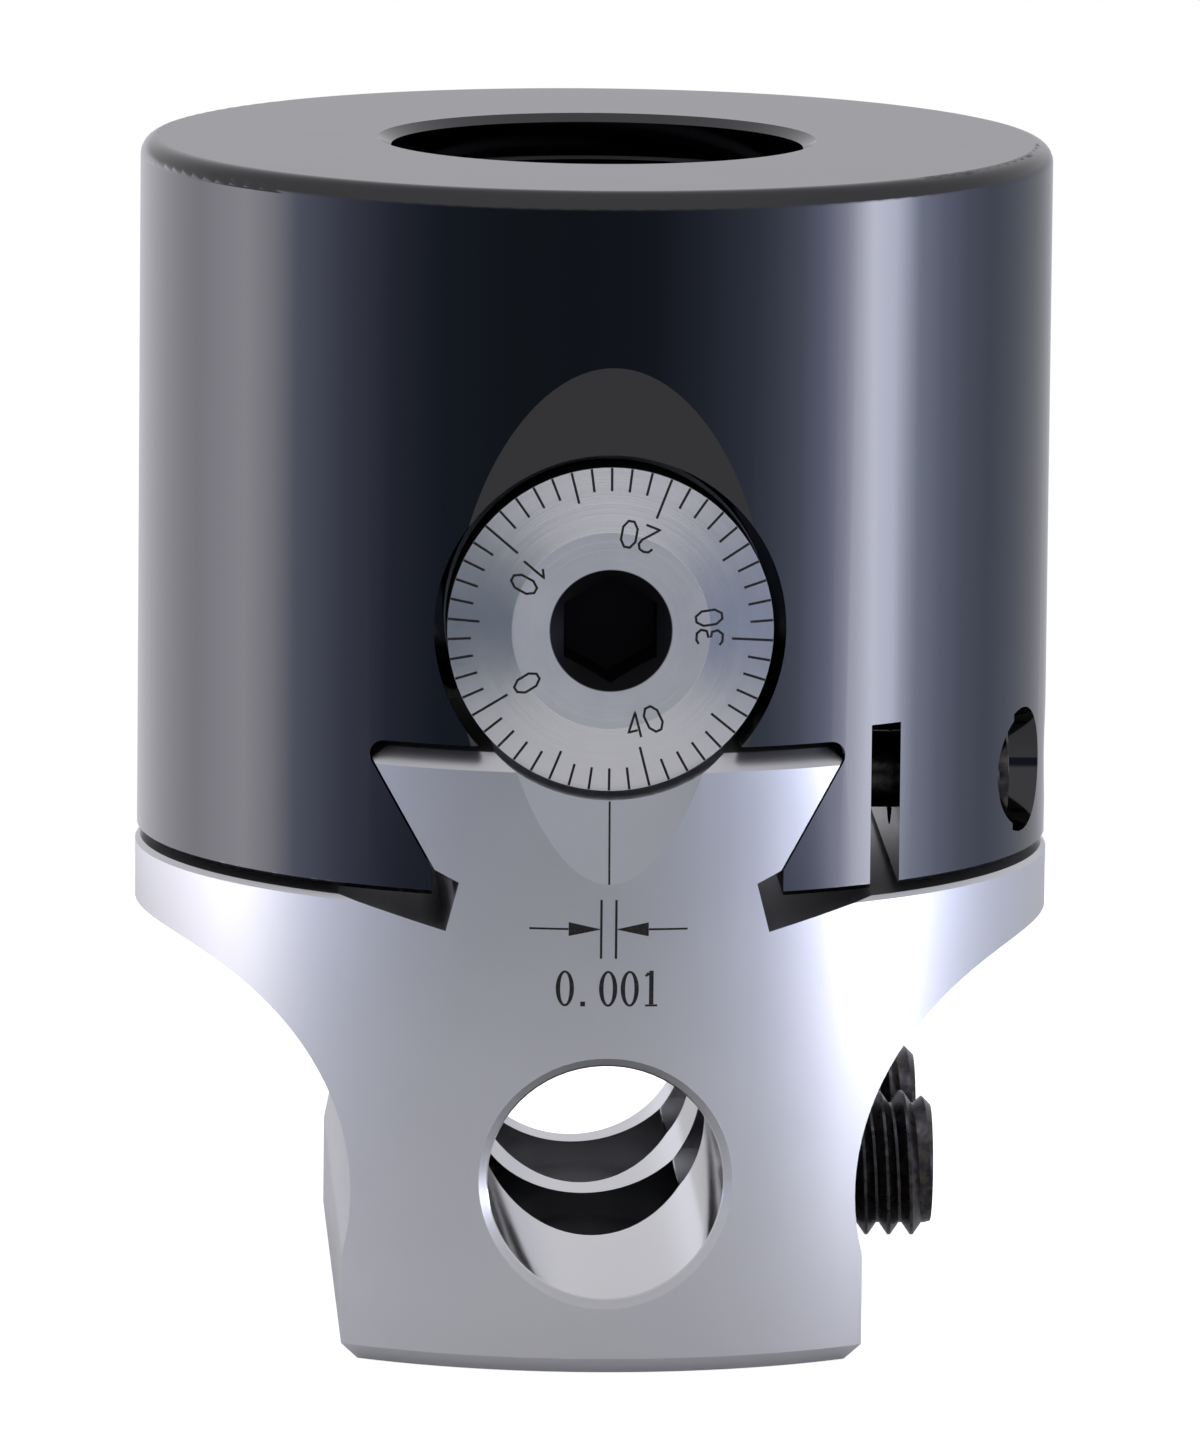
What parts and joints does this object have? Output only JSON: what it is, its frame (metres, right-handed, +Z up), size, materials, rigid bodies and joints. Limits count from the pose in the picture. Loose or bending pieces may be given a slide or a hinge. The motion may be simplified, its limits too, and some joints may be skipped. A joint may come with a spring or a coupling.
{
  "type": "boring head",
  "caption": "Offset boring head: black round body with threaded mouth, dovetail tool slide moved by a graduated lead screw, bar bores and clamp screws.",
  "frame": {"origin": "centre of the top face, on the spindle axis, where the arbor seats", "axes": "+Z up out of the threaded mouth, -Y towards the dial, +X towards the set screws"},
  "size_m": [0.0502, 0.0502, 0.0641],
  "materials": {
    "black_steel": "hardened steel, ground, polished and blackened",
    "bright_steel": "fine-ground bright steel",
    "dial_steel": "turned and satin-chromed, engraved graduations",
    "screw_steel": "black oxide, oiled"
  },
  "bodies": {
    "head": {"head_body": "black_steel"},
    "slide": {"tool_slide": "bright_steel"},
    "dial": {"dial_screw": "dial_steel"},
    "front_gib_screw": {"gib_screw_front": "screw_steel"},
    "lock_screw": {"slide_lock_screw": "screw_steel"},
    "rear_gib_screw": {"gib_screw_rear": "screw_steel"},
    "centre_clamp": {"clamp_screw_centre": "screw_steel"},
    "offset_clamp": {"clamp_screw_offset": "screw_steel"}
  },
  "joints": [
    {"name": "slide_travel", "type": "slide", "parent": "head", "child": "slide", "axis": [0, 1, 0], "range_m": [0, 0.01588]},
    {"name": "dial_turn", "type": "hinge", "parent": "slide", "child": "dial", "pos_m": [0, -0.02405, -0.0237], "axis": [0, 1, 0], "range_deg": [-9000, 0]},
    {"name": "front_gib_travel", "type": "slide", "parent": "head", "child": "front_gib_screw", "axis": [1, 0, 0], "range_m": [0, 0.0015]},
    {"name": "lock_travel", "type": "slide", "parent": "head", "child": "lock_screw", "axis": [1, 0, 0], "range_m": [0, 0.0015]},
    {"name": "rear_gib_travel", "type": "slide", "parent": "head", "child": "rear_gib_screw", "axis": [1, 0, 0], "range_m": [0, 0.0015]},
    {"name": "centre_clamp_travel", "type": "slide", "parent": "slide", "child": "centre_clamp", "axis": [-1, 0, 0], "range_m": [-0.003, 0.0045]},
    {"name": "offset_clamp_travel", "type": "slide", "parent": "slide", "child": "offset_clamp", "axis": [-1, 0, 0], "range_m": [-0.003, 0.0045]}
  ],
  "couplings": [
    {"joint": "dial_turn", "follows": "slide_travel", "rad_per_m": -9894.8}
  ]
}
